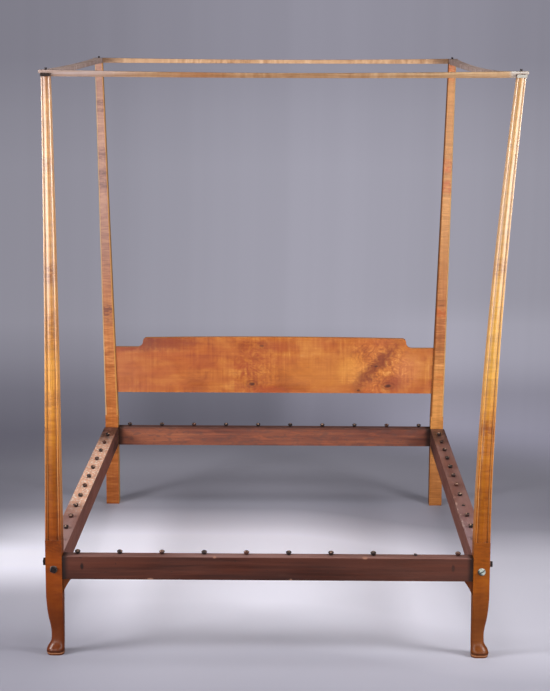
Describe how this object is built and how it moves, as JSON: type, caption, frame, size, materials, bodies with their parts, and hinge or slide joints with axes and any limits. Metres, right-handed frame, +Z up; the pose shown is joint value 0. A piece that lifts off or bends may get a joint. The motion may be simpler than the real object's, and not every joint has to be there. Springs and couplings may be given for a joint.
{
  "type": "high post bed",
  "caption": "High post bed frame: tapering figured maple posts on pad feet carry bolted rails with rope pegs, a headboard with stepped ends and a lift-off tester frame.",
  "frame": {"origin": "on the floor, under the middle of the whole bed", "axes": "+X to the right as seen from the foot, +Y from foot to head, +Z up"},
  "size_m": [1.571, 1.955, 1.925],
  "materials": {
    "post_maple": "satin amber varnish over figured maple",
    "board_maple": "satin orange-brown varnish over figured maple",
    "rail_maple": "dark red-brown stain, rubbed",
    "tester_maple": "thin, dry varnish over pale maple",
    "peg_wood": "dark stain, worn on the heads",
    "iron": "dark forged iron",
    "steel": "bright machined steel"
  },
  "bodies": {
    "bed": {"foot_post_left": "post_maple", "foot_post_right": "post_maple", "head_post_left": "post_maple", "head_post_right": "post_maple", "knee_bracket_left": "post_maple", "knee_bracket_right": "post_maple", "headboard": "board_maple", "foot_rail": "rail_maple", "head_rail": "rail_maple", "side_rail_left": "rail_maple", "side_rail_right": "rail_maple", "foot_rail_pegs": "peg_wood", "head_rail_pegs": "peg_wood", "side_rail_pegs_left": "peg_wood", "side_rail_pegs_right": "peg_wood", "bed_bolts": "iron", "bolt_washers": "iron", "bolt_nuts": "iron", "tester_pin_foot_left": "iron", "tester_pin_foot_right": "iron", "tester_pin_head_left": "iron", "tester_pin_head_right": "iron", "replaced_bolt": "steel", "replaced_washer": "steel"},
    "tester_sides": {"tester_side_rail_left": "tester_maple", "tester_side_rail_right": "tester_maple"},
    "tester_foot": {"tester_foot_rail": "tester_maple"},
    "tester_head": {"tester_head_rail": "tester_maple"}
  },
  "joints": [
    {"name": "tester_lift", "type": "slide", "parent": "bed", "child": "tester_sides", "axis": [0, 0, 1], "range_m": [0, 0.06]},
    {"name": "tester_foot_lift", "type": "slide", "parent": "tester_sides", "child": "tester_foot", "axis": [0, 0, 1], "range_m": [0, 0.06]},
    {"name": "tester_head_lift", "type": "slide", "parent": "tester_sides", "child": "tester_head", "axis": [0, 0, 1], "range_m": [0, 0.06]}
  ]
}
